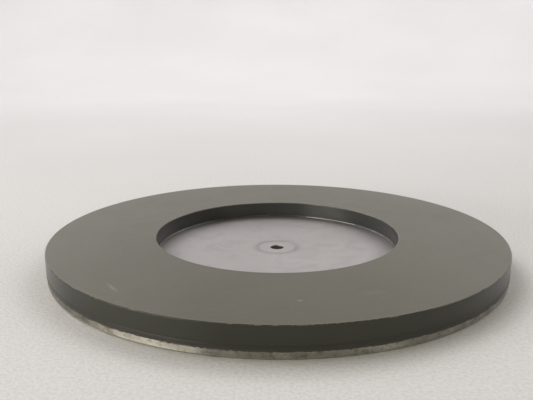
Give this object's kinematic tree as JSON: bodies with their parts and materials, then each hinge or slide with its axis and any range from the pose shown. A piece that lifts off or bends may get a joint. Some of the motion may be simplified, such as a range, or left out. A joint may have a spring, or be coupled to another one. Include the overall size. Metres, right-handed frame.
{
  "type": "diamond grinding wheel",
  "caption": "Flat grinding wheel: a wide diamond-bearing ring bonded to a steel plate, with a shallow round recess and a small centre hole.",
  "frame": {"origin": "centre of the backing plate's back face", "axes": "+Z along the wheel's axis, out of the grinding face; the wheel is round, so +X and +Y are free"},
  "size_m": [0.2, 0.2, 0.012],
  "materials": {
    "plate_steel": "ground and turned, satin",
    "bush_steel": "turned, satin",
    "adhesive": "cured epoxy, glossy",
    "plain_bond": "turned, dull",
    "diamond_bond": "dressed, fine satin"
  },
  "bodies": {
    "root": {"backing_plate": "plate_steel", "centre_bush": "bush_steel", "adhesive_film": "adhesive", "backing_layer": "plain_bond", "abrasive_ring": "diamond_bond", "inner_adhesive_fillet": "adhesive", "rim_adhesive_bead": "adhesive"}
  },
  "joints": []
}
